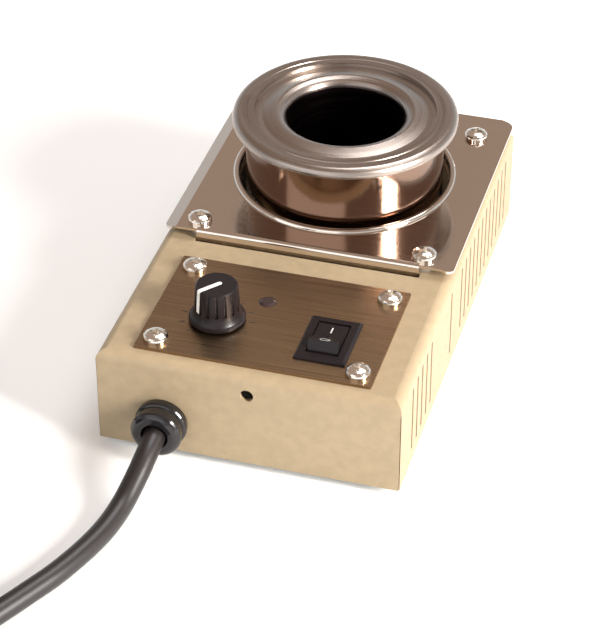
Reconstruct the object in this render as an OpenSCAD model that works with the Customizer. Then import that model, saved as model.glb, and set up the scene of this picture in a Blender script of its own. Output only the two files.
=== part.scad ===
// Bench solder pot: folded steel case, raised polished top plate, flanged crucible with a band
// heater inside a polished guard, control panel with knob, rocker switch and indicator, mains lead.
// Millimetres, +Z up, front face towards -Y, origin on the bench under the middle of the case.

/* [Case] */
// Width of the folded case
case_w = 90; // [84:1:120]
// Length of the folded case, front to back
case_l = 148; // [146:1:170]
// Height of the folded case, without its feet
case_h = 31; // [30:1:40]
// Thickness of the case sheet
case_t = 1.2; // [0.8:0.1:1.6]
// Outside radius of the case's bends
bend_r = 3; // [2.5:0.5:4]
// Gap of the corner seams
seam_gap = 0.3; // [0.2:0.1:0.5]
// Thickness of the bottom plate
bottom_t = 1.2; // [0.8:0.1:1.6]
// Clearance between the case wall and what stands inside it
case_fit = 0.3; // [0.2:0.1:0.6]

/* [Vents] */
// Width of one vent slot
vent_w = 1.4; // [1:0.1:2]
// Length of one vent slot
vent_h = 22; // [14:1:22]
// Distance from one vent slot to the next
vent_pitch = 5.6; // [4.5:0.1:6]
// Number of slots in the front group
front_vents = 5; // [3:1:5]
// Number of slots in the rear group
rear_vents = 12; // [6:1:12]
// First slot of the front group, from the front face
front_vent_y = 14; // [13:0.5:16]
// Single slot, from the front face
single_vent_y = 61.5; // [52:0.5:66]
// First slot of the rear group, from the front face
rear_vent_y = 75; // [72:0.5:78]

/* [Feet and fasteners] */
// Height of the rubber feet
foot_h = 3; // [3:0.5:6]
// Diameter of the rubber feet
foot_d = 10; // [9:0.5:12]
// Distance of the feet from the side faces
foot_inset_x = 11; // [10:0.5:14]
// Distance of the feet from the front and back faces
foot_inset_y = 8; // [7:0.5:9]
// Thread diameter of the screws
screw_d = 3.9; // [3:0.1:4]
// Diameter of the pan heads
head_d = 7.3; // [6.5:0.1:8]
// Height of the pan heads
head_h = 2.5; // [2:0.1:2.8]
// Radial clearance of a screw in its hole
screw_fit = 0.2; // [0.1:0.05:0.3]
// Width across flats of the nuts
nut_af = 7; // [6.5:0.1:7.5]
// Height of the nuts
nut_h = 2.4; // [2:0.1:3]

/* [Top plate] */
// Width of the polished plate
plate_w = 89.6; // [86:0.2:116]
// Length of the polished plate
plate_l = 86.5; // [84:0.5:90]
// Thickness of the polished plate
plate_t = 0.8; // [0.6:0.1:1.2]
// Height of the spacers under the plate
plate_lift = 2.7; // [2:0.1:6]
// Width of the turned-down side margins
margin_w = 3.8; // [3:0.1:5]
// How far the side margins drop at their edge
margin_drop = 1; // [0.5:0.1:1.5]
// Corner radius of the plate in plan
plate_corner_r = 2.5; // [1:0.5:4]
// Distance of the plate's screws from the middle line
plate_screw_x = 35; // [34:0.5:36]
// Front plate screws, from the plate's front edge
plate_screw_front = 5.2; // [5:0.1:8]
// Back plate screws, from the plate's back edge
plate_screw_back = 12.2; // [8:0.1:14]
// Width of the front tab
tab_w = 69.2; // [40:0.2:72]
// How far the front tab reaches through the case top
tab_reach = 3; // [2:0.5:5]
// Outside radius of the tab's bend
tab_bend = 1.4; // [1.2:0.1:2]
// Width of the slot that takes the tab
tab_slot = 2.2; // [1.8:0.1:3]
// Radial gap between the guard and the plate's rim
rim_gap = 2; // [1:0.1:3]
// Width of the rounded rim round the plate's hole
rim_w = 2.1; // [1.6:0.1:3]
// Height of the rim over the plate
rim_h = 1.1; // [0.8:0.1:2]

/* [Crucible] */
// Distance of the crucible's centre from the front face
crucible_y = 105; // [104:0.5:108]
// Height of the crucible's top above the case top
crucible_rise = 26; // [20:1:40]
// Inside radius of the crucible
bore_r = 18; // [14:0.5:18.5]
// Depth of the crucible
bore_depth = 42; // [30:1:44]
// Wall thickness of the crucible
cup_wall = 3; // [2:0.5:3.5]
// Outside radius of the crucible's flange
flange_r = 34.8; // [33:0.1:36]
// Thickness of the flange at its rim
flange_t = 3.3; // [3:0.1:5]
// Radius of the flange's rounded rim
rim_round = 2.4; // [1:0.1:2.6]
// Outside radius of the turned recess in the flange
recess_r = 28.1; // [27:0.1:29]
// Depth of the turned recess
recess_depth = 1.2; // [0.5:0.1:1.5]
// Radius of the rounded lip of the bore
lip_r = 3.5; // [2:0.5:4]

/* [Guard and heater] */
// Outside radius of the polished guard
guard_r = 30.7; // [30:0.1:31.5]
// Wall thickness of the guard
guard_t = 0.8; // [0.6:0.1:1.2]
// Height of the standoffs under the guard
standoff_h = 6.8; // [6:0.1:9]
// Thickness of the guard's floor
floor_t = 1; // [0.8:0.1:1.5]
// Thickness of the insulation pad under the crucible
pad_t = 3; // [2.6:0.1:4]
// Thickness of the band heater
heater_t = 3; // [2:0.1:3]
// Height of the band heater
heater_h = 26; // [20:1:28]
// Width of the band heater's split
heater_split = 5; // [3:0.5:6]
// Clearance between parts that slide over each other
slide_fit = 0.1; // [0.05:0.05:0.2]

/* [Control panel] */
// Width of the control panel
panel_w = 70; // [68:0.5:76]
// Length of the control panel
panel_l = 46.6; // [44:0.2:50]
// Thickness of the control panel
panel_t = 0.8; // [0.5:0.1:1.2]
// Distance of the panel from the front face
panel_front = 4.5; // [4:0.5:6]
// Distance of the panel screws from the panel's edges
panel_inset = 5.1; // [4.8:0.1:6]
// Diameter of the indicator lens
lamp_d = 5; // [4:0.5:6]
// Place of the indicator across the panel
lamp_x = -4.2; // [-5:0.1:-3]
// Place of the indicator from the panel's front edge
lamp_y = 30.8; // [28:0.1:36]

/* [Knob] */
// Place of the knob across the panel
knob_x = -15.8; // [-18:0.1:-15]
// Place of the knob from the panel's front edge
knob_y = 18.8; // [17:0.1:22]
// Diameter of the knob's skirt
knob_skirt_d = 16.6; // [15:0.1:18]
// Diameter of the knob's top
knob_top_d = 12.4; // [11:0.1:13]
// Height of the knob
knob_h = 11.6; // [10:0.1:14]
// Gap between the knob and the panel
knob_gap = 0.7; // [0.4:0.1:1.5]
// Number of grip grooves
knob_grooves = 16; // [10:1:20]
// Angle of the pointer at its lowest setting, from straight ahead
pointer_angle = 40; // [30:1:50]
// Diameter of the potentiometer's shaft
shaft_d = 6; // [5:0.1:6.4]
// Radial running clearance of shafts and pins
run_fit = 0.05; // [0.03:0.01:0.1]

/* [Switch] */
// Place of the switch across the panel
switch_x = 17.9; // [17:0.1:19]
// Place of the switch from the panel's front edge
switch_y = 17.1; // [16:0.1:19]
// Width of the switch bezel
bezel_w = 15.2; // [14.8:0.1:16]
// Length of the switch bezel
bezel_l = 20.6; // [20:0.1:22]
// Height of the bezel over the panel
bezel_h = 1.2; // [1:0.1:2]
// Width of the rocker
rocker_w = 9; // [8:0.1:9.4]
// Half length of the rocker at its upper edge
rocker_half = 6.3; // [5.8:0.1:6.5]
// Tilt of the rocker to each side
rocker_tilt = 13; // [10:1:14]
// Side clearance of the rocker
rocker_fit = 0.35; // [0.3:0.05:0.5]

/* [Mains lead] */
// Diameter of the mains lead
cord_d = 6.5; // [6:0.1:6.6]
// Place of the lead's bushing across the front face
bushing_x = -25.3; // [-27:0.1:-24]
// Height of the bushing's centre above the case's lower edge
bushing_z = 10.2; // [10:0.1:12]
// Diameter of the bushing's head
bushing_head_d = 15.6; // [14.5:0.1:16]
// Length of the bushing's head
bushing_head_l = 8; // [6:0.5:10]
// Diameter of the small hole in the front face
port_d = 3.9; // [3:0.1:5]

/* [Hidden] */

$fn = 64;
eps = 0.01;
cut = 1;

// Heights
case_z0 = foot_h;
case_z1 = case_z0 + case_h;
floor_z = case_z0 + bottom_t;
plate_z0 = case_z1 + plate_lift;
plate_z1 = plate_z0 + plate_t;
panel_z1 = case_z1 + panel_t;
crucible_top = case_z1 + crucible_rise;
flange_z0 = crucible_top - flange_t;
cup_floor_t = cup_wall;
cup_z0 = crucible_top - bore_depth - cup_floor_t;
guard_z0 = floor_z + standoff_h;
pad_z0 = guard_z0 + floor_t;

// Places in plan
front_y = -case_l / 2;
back_y = case_l / 2;
side_x = case_w / 2;
wall_x = side_x - case_t;
pot_y = front_y + crucible_y;
plate_y0 = back_y - plate_l;
panel_y0 = front_y + panel_front;
panel_yc = panel_y0 + panel_l / 2;
knob_yc = panel_y0 + knob_y;
switch_yc = panel_y0 + switch_y;
lamp_yc = panel_y0 + lamp_y;
bushing_zc = case_z0 + bushing_z;
port_z = case_z1 - 6.5;

// Fasteners
hole_d = screw_d + 2 * screw_fit;
small_screw_d = 2.9;
small_hole_d = small_screw_d + 2 * screw_fit;
foot_points = [for (sx = [-1, 1], sy = [-1, 1])
  [sx * (side_x - foot_inset_x), sy * (back_y - foot_inset_y)]];
plate_points = [for (sx = [-1, 1], y = [plate_y0 + plate_screw_front, back_y - plate_screw_back])
  [sx * plate_screw_x, y]];
panel_points = [for (sx = [-1, 1], sy = [-1, 1])
  [sx * (panel_w / 2 - panel_inset), panel_yc + sy * (panel_l / 2 - panel_inset)]];

// Top plate
hole_r = guard_r + rim_gap;
slot_y0 = plate_y0 - (tab_slot - plate_t) + case_fit;

// Crucible and heater
cup_r = bore_r + cup_wall;
lip_top_z = crucible_top - 0.3;
guard_in = guard_r - guard_t;
heater_r = cup_r + slide_fit;
heater_z0 = cup_z0 + 5;
sleeve_r = heater_r + heater_t + 0.5;
sleeve_top = flange_z0 - 3;
ear_x = heater_split / 2;
ear_t = 1.2;
ear_y0 = heater_r + 1;
ear_h = 12;
ear_z = heater_z0 + heater_h / 2;
ear_slot_w = 16;
clamp_d = 2.5;
clamp_af = 4.4;
clamp_y = heater_r + heater_t + clamp_af / 2 + 0.2;
ear_y1 = clamp_y + clamp_af / 2;
lead_d = 2.4;
lead_x = 6;
standoff_r = 22;
standoff_d = 8;
standoff_angles = [30, 150, 270];
terminal_hole_d = 5;

// Knob and potentiometer
knob_z0 = panel_z1 + knob_gap;
knob_z1 = knob_z0 + knob_h;
shaft_top = knob_z1 - 2.5;
thread_d = 7;
washer_d = 10;
pot_nut_af = 9;
pot_nut_h = 1.9;
pot_nut_z0 = panel_z1;
can_d = 16;
can_h = 8;
knob_hollow_d = 11.6;
knob_hollow_top = knob_z0 + 2.6;
pointer_w = 1.4;
pointer_depth = 0.7;

// Rocker switch
bezel_z = panel_z1 + bezel_h;
rocker_rise = rocker_half * tan(rocker_tilt);
rocker_mid = 3.5;
pivot_z = bezel_z - rocker_mid * cos(rocker_tilt);
rocker_tip = [rocker_half, rocker_mid + rocker_rise];
opening_half = norm(rocker_tip) * cos(atan2(rocker_tip[1], rocker_tip[0]) - rocker_tilt)
  + rocker_fit;
opening_w = rocker_w + 2 * rocker_fit;
pin_d = 2.4;
pin_l = 1.4;
housing_w = bezel_w - 2.4;
housing_l = bezel_l - 1.8;
housing_z0 = pivot_z - 13;
cutout_fit = 0.2;
well_z = pivot_z - 5;
switch_tabs = [-4.5, 2];
switch_tab_w = 6.2;
switch_tab_t = 0.8;
switch_tab_in = 3;

// Control board
board_size = [48, 26, 1.6];
board_at = [-6, -37.5];
board_lift = 5;
board_z = floor_z + board_lift;
board_holes = [for (x = [3, board_size[0] - 3], y = [3, board_size[1] - 3])
  [board_at[0] + x, board_at[1] + y]];
sink_at = [board_at[0] + 10, board_at[1] + 16];
sink_size = [26, 7, 16];
block_at = [-34, -36];
block_size = [12, 24, 10];
block_y1 = block_at[1] + block_size[1];
block_mid_x = block_at[0] + block_size[0] / 2;
block_way = 2.7;
block_wire_d = 3;
block_entry_z = floor_z + 3.4;
block_screw_d = 3.2;
block_screw_in = 5.5;
lead_depth = 7.5;
stud_at = [-37, -50];
stud_ring_d = 8;
core_d = 2;
core_start_y = front_y + 17.5;

// Bushing
bushing_body_d = 12.4;
bushing_flat = 11.2;
bushing_in_l = 14;
bushing_bore = cord_d + 2 * run_fit;
exit_y = front_y - bushing_head_l;

// Mains lead: the route's points from inside the case to the coil
cord_r = cord_d / 2;
cord_route = [
  [bushing_x, front_y + 17, bushing_zc], [bushing_x, front_y + 6, bushing_zc],
  [bushing_x, front_y, bushing_zc], [bushing_x, exit_y + 4, bushing_zc],
  [bushing_x, exit_y, 12.95], [-25.5, -87, 11.8], [-26, -92, 9.7], [-26.8, -97, 7.3],
  [-27.8, -103, 4.9], [-29, -110, 3.7], [-30.6, -117, 3.3], [-33, -125, 3.3],
  [-36.4, -134, 3.3], [-40.8, -143, 3.3], [-45.4, -152, 3.3], [-50.4, -161.5, 3.3],
  [-57, -170.8, 3.3], [-65.2, -177.7, 3.3], [-74.3, -182.2, 3.3]
];

// The coil's turns, side by side and in layers, and the tie round them
coil_at = [-92.9, -150];
coil_mid_r = 32.5;
coil_columns = 2;
coil_layers = 3;
coil_in_r = coil_mid_r - coil_columns * cord_r;
coil_out_r = coil_mid_r + coil_columns * cord_r;
coil_h = coil_layers * cord_d;
coil_edge = 2;
tie_w = 10;
tie_t = 1;
tie_fit = 0.3;
tie_angle = 255;

// The tail leaves the coil's upper inner turn along +Y, crosses the outer one and ends in the plug
plug_z = 11.5;
tail_x = coil_at[0] - coil_in_r - cord_r;
plug_at = [tail_x + 3.75, -78];
tail_route = [
  [tail_x, -150, 19.9], [tail_x + 0.1, -141, 21.8], [tail_x + 0.4, -132, 23], [tail_x + 1, -123, 22],
  [tail_x + 1.9, -114, 19.4], [tail_x + 2.8, -105, 16.4], [tail_x + 3.5, -96, 13.8],
  [plug_at[0], -87, 12], [plug_at[0], plug_at[1], plug_z]
];
plug_sleeve = 12;
plug_l = 38;

// Helpers

module rounded_rect(w, l, r) {
  union() {
    square([w - 2 * r, l], center = true);
    square([w, l - 2 * r], center = true);
    for (sx = [-1, 1], sy = [-1, 1])
      translate([sx * (w / 2 - r), sy * (l / 2 - r)]) circle(r);
  }
}

// Cross-section of a folded top: flat, a bend at each side and straight walls
module folded_profile(w, h, r) {
  union() {
    translate([-w / 2, 0]) square([w, h - r]);
    translate([-w / 2 + r, 0]) square([w - 2 * r, h]);
    for (s = [-1, 1]) translate([s * (w / 2 - r), h - r]) circle(r);
  }
}

// Solid with the outline of a lid folded down on its four sides
module folded_block(w, l, h, r) {
  intersection() {
    rotate([90, 0, 0]) translate([0, 0, -l / 2]) linear_extrude(l) folded_profile(w, h, r);
    rotate([90, 0, 90]) translate([0, 0, -w / 2]) linear_extrude(w) folded_profile(l, h, r);
  }
}

module tube(r_out, r_in, h) {
  difference() {
    cylinder(r = r_out, h = h);
    translate([0, 0, -cut]) cylinder(r = r_in, h = h + 2 * cut);
  }
}

// Pan head screw with a cross recess, standing on z = 0 with its shank below
module pan_screw(d, head, h, length) {
  crown = h * 0.65;
  slot = [head * 0.5, head * 0.12];
  dome = [for (a = [0:15:75]) [head / 2 * cos(a), h - crown + crown * sin(a)]];
  difference() {
    rotate_extrude() polygon(concat([[0, -length], [d / 2, -length], [d / 2, 0], [head / 2, 0]],
      dome, [[0, h]]));
    for (a = [0, 90]) rotate(a)
      translate([-slot[0] / 2, -slot[1] / 2, h * 0.55]) cube([slot[0], slot[1], h]);
  }
}

module hex_nut(af, h, d) {
  difference() {
    cylinder(d = af / cos(30), h = h, $fn = 6);
    translate([0, 0, -cut]) cylinder(d = d, h = h + 2 * cut);
  }
}

// Points of a smooth curve through a list of points
function mix3(a, b, c, d, t) = 0.5 * ((2 * b) + (c - a) * t + (2 * a - 5 * b + 4 * c - d) * t * t
  + (3 * b - a - 3 * c + d) * t * t * t);
function curve(p, steps) = [
  for (i = [0:len(p) - 2], k = [0:steps - 1])
    mix3(p[max(i - 1, 0)], p[i], p[i + 1], p[min(i + 2, len(p) - 1)], k / steps),
  p[len(p) - 1]
];
function unit(v) = v / norm(v);
function heading(p, i) = unit(p[min(i + 1, len(p) - 1)] - p[max(i - 1, 0)]);
function side_of(t) = abs(t[2]) > 0.99 ? [1, 0, 0] : unit(cross(t, [0, 0, 1]));

// Round tube swept along points
module swept_tube(p, r, sides) {
  n = len(p);
  rings = [for (i = [0:n - 1], k = [0:sides - 1])
    let (t = heading(p, i), s = side_of(t), u = cross(s, t), a = 360 * k / sides)
      p[i] + r * (cos(a) * s + sin(a) * u)];
  walls = [for (i = [0:n - 2], k = [0:sides - 1])
    [i * sides + k, i * sides + (k + 1) % sides, (i + 1) * sides + (k + 1) % sides,
      (i + 1) * sides + k]];
  polyhedron(rings, concat(walls, [[for (k = [sides - 1:-1:0]) k]],
    [[for (k = [0:sides - 1]) (n - 1) * sides + k]]), convexity = 6);
}

// Case

module vent_row(first, count) {
  for (i = [0:count - 1])
    translate([-side_x - cut, front_y + first + i * vent_pitch - vent_w / 2, (case_h - vent_h) / 2])
      cube([case_w + 2 * cut, vent_w, vent_h]);
}

module case_shell() {
  color("Wheat") difference() {
    translate([0, 0, case_z0]) difference() {
      folded_block(case_w, case_l, case_h, bend_r);
      translate([0, 0, -cut])
        folded_block(case_w - 2 * case_t, case_l - 2 * case_t, case_h - case_t + cut, bend_r - case_t);
      for (sx = [-1, 1], sy = [-1, 1])
        translate([sx * side_x, sy * back_y, -cut]) rotate(45 * sx * sy)
          translate([-bend_r, -seam_gap / 2, 0]) cube([2 * bend_r, seam_gap, case_h - bend_r]);
      vent_row(front_vent_y, front_vents);
      vent_row(single_vent_y, 1);
      vent_row(rear_vent_y, rear_vents);
    }
    translate([0, pot_y, case_z1 - case_t - cut]) cylinder(r = hole_r, h = case_t + 2 * cut);
    translate([-tab_w / 2 - case_fit, slot_y0, case_z1 - case_t - cut])
      cube([tab_w + 2 * case_fit, tab_slot, case_t + 2 * cut]);
    for (p = concat(plate_points, panel_points))
      translate([p[0], p[1], case_z1 - case_t - cut]) cylinder(d = hole_d, h = case_t + 2 * cut);
    translate([knob_x, knob_yc, case_z1 - case_t - cut])
      cylinder(d = thread_d + 2 * screw_fit, h = case_t + 2 * cut);
    translate([lamp_x, lamp_yc, case_z1 - case_t - cut])
      cylinder(d = lamp_d + 2 * slide_fit, h = case_t + 2 * cut);
    translate([switch_x, switch_yc, case_z1])
      cube([housing_w + 2 * cutout_fit, housing_l + 2 * cutout_fit, 4 * case_t], center = true);
    translate([bushing_x, front_y, bushing_zc]) rotate([90, 0, 0]) intersection() {
      cylinder(d = bushing_body_d + 2 * slide_fit, h = 4 * case_t, center = true);
      cube([bushing_flat + 2 * slide_fit, 2 * bushing_body_d, 6 * case_t], center = true);
    }
    translate([0, front_y, port_z]) rotate([90, 0, 0])
      cylinder(d = port_d, h = 4 * case_t, center = true);
  }
}

module bottom_plate() {
  w = case_w - 2 * case_t - 2 * case_fit;
  l = case_l - 2 * case_t - 2 * case_fit;
  lip = 4;
  lip_l = case_l - 46;
  color("Silver") difference() {
    translate([0, 0, case_z0]) union() {
      translate([-w / 2, -l / 2, 0]) cube([w, l, bottom_t]);
      for (s = [-1, 1])
        translate([s * (w / 2 - bottom_t / 2) - bottom_t / 2, -lip_l / 2, 0])
          cube([bottom_t, lip_l, lip]);
    }
    for (p = foot_points) translate([p[0], p[1], 0]) cylinder(d = hole_d, h = case_h);
    for (a = standoff_angles) translate([0, pot_y, 0]) rotate(a)
      translate([standoff_r, 0, 0]) cylinder(d = hole_d, h = case_h);
    for (p = board_holes) translate([p[0], p[1], 0]) cylinder(d = small_hole_d, h = case_h);
    translate([stud_at[0], stud_at[1], 0]) cylinder(d = hole_d, h = case_h);
    for (x = [-12:6:12]) translate([x, pot_y, case_z0])
      cube([2.4, 20, 4 * bottom_t], center = true);
  }
}

module corner_brackets() {
  bracket_t = 1.5;
  bracket_w = 9;
  bracket_h = 14;
  edge_x = wall_x - case_fit;
  color("LightSteelBlue") for (p = foot_points) {
    s = sign(p[0]);
    reach = edge_x - abs(p[0]) + bracket_w / 2;
    difference() {
      union() {
        translate([s > 0 ? edge_x - reach : -edge_x, p[1] - bracket_w / 2, floor_z])
          cube([reach, bracket_w, bracket_t]);
        translate([s > 0 ? edge_x - bracket_t : -edge_x, p[1] - bracket_w / 2, floor_z])
          cube([bracket_t, bracket_w, bracket_h]);
      }
      translate([p[0], p[1], 0]) cylinder(d = hole_d, h = case_h);
    }
  }
}

module rubber_feet() {
  recess_d = head_d + 1;
  color("DimGray") for (p = foot_points) translate([p[0], p[1], 0]) difference() {
    cylinder(d1 = foot_d - 1, d2 = foot_d, h = foot_h);
    translate([0, 0, -cut]) cylinder(d = recess_d - 1.6, h = foot_h - 1.2 + cut);
    cylinder(d = hole_d, h = foot_h + cut);
  }
}

module foot_screws() {
  foot_head_d = head_d - 1.2;
  seat_z = foot_h - 1.2;
  color("Gainsboro") for (p = foot_points) translate([p[0], p[1], seat_z])
    mirror([0, 0, 1]) pan_screw(screw_d, foot_head_d, seat_z - 0.4, floor_z - seat_z + 5.5);
}

module foot_nuts() {
  color("Gainsboro") for (p = foot_points) translate([p[0], p[1], floor_z + 1.5])
    hex_nut(nut_af, nut_h, screw_d + 2 * run_fit);
}

// Top plate

module plate_section() {
  half = plate_w / 2;
  bend = half - margin_w;
  polygon([
    [-half, plate_z1 - margin_drop], [-bend, plate_z1], [bend, plate_z1],
    [half, plate_z1 - margin_drop], [half, plate_z0 - margin_drop], [bend, plate_z0],
    [-bend, plate_z0], [-half, plate_z0 - margin_drop]
  ]);
}

module top_plate() {
  rim_r = rim_w / 2;
  color("LightGray") difference() {
    union() {
      intersection() {
        translate([0, back_y, 0]) rotate([90, 0, 0]) linear_extrude(plate_l) plate_section();
        translate([0, back_y - plate_l / 2, plate_z0 - 2 * margin_drop])
          linear_extrude(4 * margin_drop + plate_t) rounded_rect(plate_w, plate_l, plate_corner_r);
      }
      // Front tab: a bend of its own, then straight down into the slot of the case
      intersection() {
        translate([-tab_w / 2, plate_y0, case_z1 - tab_reach])
          cube([tab_w, tab_bend, plate_z1 - case_z1 + tab_reach]);
        union() {
          translate([-tab_w / 2, plate_y0, case_z1 - tab_reach])
            cube([tab_w, plate_t, plate_z1 - tab_bend - case_z1 + tab_reach]);
          translate([0, plate_y0 + tab_bend, plate_z1 - tab_bend]) rotate([0, 90, 0]) difference() {
            cylinder(r = tab_bend, h = tab_w, center = true);
            cylinder(r = tab_bend - plate_t, h = tab_w + 2 * cut, center = true);
          }
        }
      }
      translate([0, pot_y, 0]) rotate_extrude($fn = 96) union() {
        translate([hole_r, plate_z0]) square([rim_w, plate_t + rim_h - rim_r]);
        translate([hole_r + rim_r, plate_z1 + rim_h - rim_r]) circle(rim_r, $fn = 32);
      }
    }
    // The sheet stops at the tab's bend
    translate([-tab_w / 2, plate_y0 - cut, plate_z1 - tab_bend]) difference() {
      cube([tab_w, cut + tab_bend, tab_bend + cut]);
      translate([-cut, cut + tab_bend, 0]) rotate([0, 90, 0]) cylinder(r = tab_bend, h = tab_w + 2 * cut);
    }
    translate([0, pot_y, plate_z0 - cut]) cylinder(r = hole_r, h = plate_t + rim_h + 2 * cut, $fn = 96);
    for (p = plate_points) translate([p[0], p[1], plate_z0 - cut])
      cylinder(d = hole_d, h = plate_t + 2 * cut);
  }
}

module plate_spacers() {
  color("Silver") for (p = plate_points) translate([p[0], p[1], case_z1])
    tube(head_d / 2 - 0.3, hole_d / 2, plate_lift);
}

module plate_screws() {
  color("Gainsboro") for (p = plate_points) translate([p[0], p[1], plate_z1])
    pan_screw(screw_d, head_d, head_h, plate_z1 - case_z1 + case_t + nut_h + 1.5);
}

module plate_nuts() {
  color("Gainsboro") for (p = plate_points) translate([p[0], p[1], case_z1 - case_t - nut_h])
    hex_nut(nut_af, nut_h, screw_d + 2 * run_fit);
}

// Crucible

// Points on an arc, from one angle to another
function arc(c, r, a0, a1, n) = [for (i = [0:n]) let (a = a0 + (a1 - a0) * i / n)
  [c[0] + r * cos(a), c[1] + r * sin(a)]];

module crucible() {
  top = crucible_top;
  inner_round = 4;
  outer_round = 3;
  under_round = 0.6;
  floor_top = cup_z0 + cup_floor_t;
  profile = concat(
    [[0, cup_z0]],
    arc([cup_r - outer_round, cup_z0 + outer_round], outer_round, -90, 0, 4),
    [[cup_r, flange_z0]],
    arc([flange_r - under_round, flange_z0 + under_round], under_round, -90, 0, 2),
    arc([flange_r - rim_round, top - rim_round], rim_round, 0, 90, 7),
    [[recess_r + 2.4, top], [recess_r + 2.3, top - 0.15], [recess_r + 2.1, top - 0.15],
      [recess_r + 2, top], [recess_r, top], [recess_r - 0.1, top - recess_depth],
      [recess_r - 2.5, top - recess_depth - 0.1], [recess_r - 4.5, top - recess_depth * 0.65]],
    arc([bore_r + lip_r, lip_top_z - lip_r], lip_r, 90, 180, 8),
    arc([bore_r - inner_round, floor_top + inner_round], inner_round, 0, -90, 5),
    [[0, floor_top]]
  );
  color("DarkGray") translate([0, pot_y, 0]) rotate_extrude($fn = 96) polygon(profile);
}

module crucible_guard() {
  color("Silver") translate([0, pot_y, guard_z0]) tube(guard_r, guard_in, flange_z0 - guard_z0, $fn = 96);
}

module at_standoffs() {
  translate([0, pot_y, 0]) for (a = standoff_angles) rotate(a) translate([standoff_r, 0, 0]) children();
}

module guard_floor() {
  color("LightSlateGray") difference() {
    translate([0, pot_y, guard_z0]) cylinder(r = guard_in - slide_fit, h = floor_t);
    at_standoffs() cylinder(d = hole_d, h = case_h);
    for (s = [-1, 1]) translate([s * lead_x, pot_y + heater_r + heater_t / 2, 0])
      cylinder(d = terminal_hole_d, h = case_h);
  }
}

module guard_standoffs() {
  color("Beige") at_standoffs() translate([0, 0, floor_z])
    tube(standoff_d / 2, hole_d / 2, standoff_h);
}

module guard_bolts() {
  bolt_head = 2;
  color("Gainsboro") at_standoffs() translate([0, 0, case_z0]) mirror([0, 0, 1])
    pan_screw(screw_d, head_d, bolt_head, pad_z0 + nut_h - case_z0);
}

module guard_nuts() {
  color("Gainsboro") at_standoffs() translate([0, 0, pad_z0])
    hex_nut(nut_af, nut_h, screw_d + 2 * run_fit);
}

module insulation_pad() {
  nut_hole = nut_af / cos(30) + 2 * slide_fit;
  color("WhiteSmoke") difference() {
    translate([0, pot_y, pad_z0]) cylinder(r = guard_in - slide_fit, h = cup_z0 - pad_z0);
    at_standoffs() cylinder(d = nut_hole, h = case_h);
    for (s = [-1, 1]) translate([s * lead_x, pot_y + heater_r + heater_t / 2, 0])
      cylinder(d = terminal_hole_d, h = case_h);
  }
}

module insulation_sleeve() {
  color("WhiteSmoke") difference() {
    translate([0, pot_y, cup_z0]) tube(guard_in - slide_fit, sleeve_r, sleeve_top - cup_z0);
    translate([-ear_slot_w / 2, pot_y + cup_r - 2, cup_z0 - cut])
      cube([ear_slot_w, guard_in, heater_z0 + heater_h + 2 - cup_z0 + cut]);
  }
}

module band_heater() {
  color("Tan") difference() {
    translate([0, pot_y, 0]) union() {
      translate([0, 0, heater_z0]) difference() {
        tube(heater_r + heater_t, heater_r, heater_h);
        translate([-ear_x, 0, -cut]) cube([2 * ear_x, 2 * guard_r, heater_h + 2 * cut]);
      }
      for (s = [-1, 1]) translate([s * (ear_x + ear_t / 2) - ear_t / 2, ear_y0, ear_z - ear_h / 2])
        cube([ear_t, ear_y1 - ear_y0, ear_h]);
      // Terminal posts at the lower edge of the band
      for (s = [-1, 1]) translate([s * lead_x, heater_r + heater_t / 2 - 0.6, heater_z0 - 2])
        cylinder(d = 2, h = 2 + eps);
    }
    translate([0, pot_y + clamp_y, ear_z]) rotate([0, 90, 0])
      cylinder(d = clamp_d + 2 * run_fit, h = ear_slot_w, center = true);
  }
}

module heater_clamp_bolt() {
  clamp_nut_h = 1.8;
  grip = 2 * (ear_x + ear_t);
  color("Gainsboro") translate([ear_x + ear_t, pot_y + clamp_y, ear_z]) rotate([0, 90, 0]) {
    pan_screw(clamp_d, clamp_af, clamp_nut_h, grip + clamp_nut_h + 0.6);
    translate([0, 0, -grip - clamp_nut_h]) cylinder(d = clamp_af / cos(30), h = clamp_nut_h, $fn = 6);
  }
}

module heater_leads() {
  post_y = pot_y + heater_r + heater_t / 2 - 0.6;
  post_z = heater_z0 - 2;
  run_z = block_entry_z;
  color("Ivory") for (s = [-1, 1]) {
    way_x = block_mid_x + s * block_way;
    swept_tube(curve([
      [s * lead_x, post_y, post_z - 0.05], [s * lead_x, post_y, post_z - 3],
      [s * lead_x, post_y - 0.5, run_z + 2], [s * lead_x, post_y - 6, run_z],
      [s * lead_x - 2, pot_y + 8, run_z], [s * 3 - 16, pot_y - 14, run_z],
      [way_x + 2, pot_y - 30, run_z], [way_x, block_y1 + 8, run_z], [way_x, block_y1 + 2, run_z],
      [way_x, block_y1 - lead_depth, run_z]
    ], 3), lead_d / 2, 8);
  }
}

// Control panel

module control_panel() {
  color("Silver") difference() {
    translate([0, panel_yc, case_z1]) linear_extrude(panel_t) rounded_rect(panel_w, panel_l, 0.6);
    for (p = panel_points) translate([p[0], p[1], case_z1 - cut])
      cylinder(d = hole_d, h = panel_t + 2 * cut);
    translate([knob_x, knob_yc, case_z1 - cut])
      cylinder(d = thread_d + 2 * screw_fit, h = panel_t + 2 * cut);
    translate([lamp_x, lamp_yc, case_z1 - cut])
      cylinder(d = lamp_d + 2 * slide_fit, h = panel_t + 2 * cut);
    translate([switch_x, switch_yc, case_z1])
      cube([housing_w + 2 * cutout_fit, housing_l + 2 * cutout_fit, 4 * panel_t], center = true);
  }
}

module panel_screws() {
  color("Gainsboro") for (p = panel_points) translate([p[0], p[1], panel_z1])
    pan_screw(screw_d, head_d, head_h, panel_t + case_t + nut_h + 1);
}

module panel_nuts() {
  color("Gainsboro") for (p = panel_points) translate([p[0], p[1], case_z1 - case_t - nut_h])
    hex_nut(nut_af, nut_h, screw_d + 2 * run_fit);
}

// Knob and potentiometer

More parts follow.
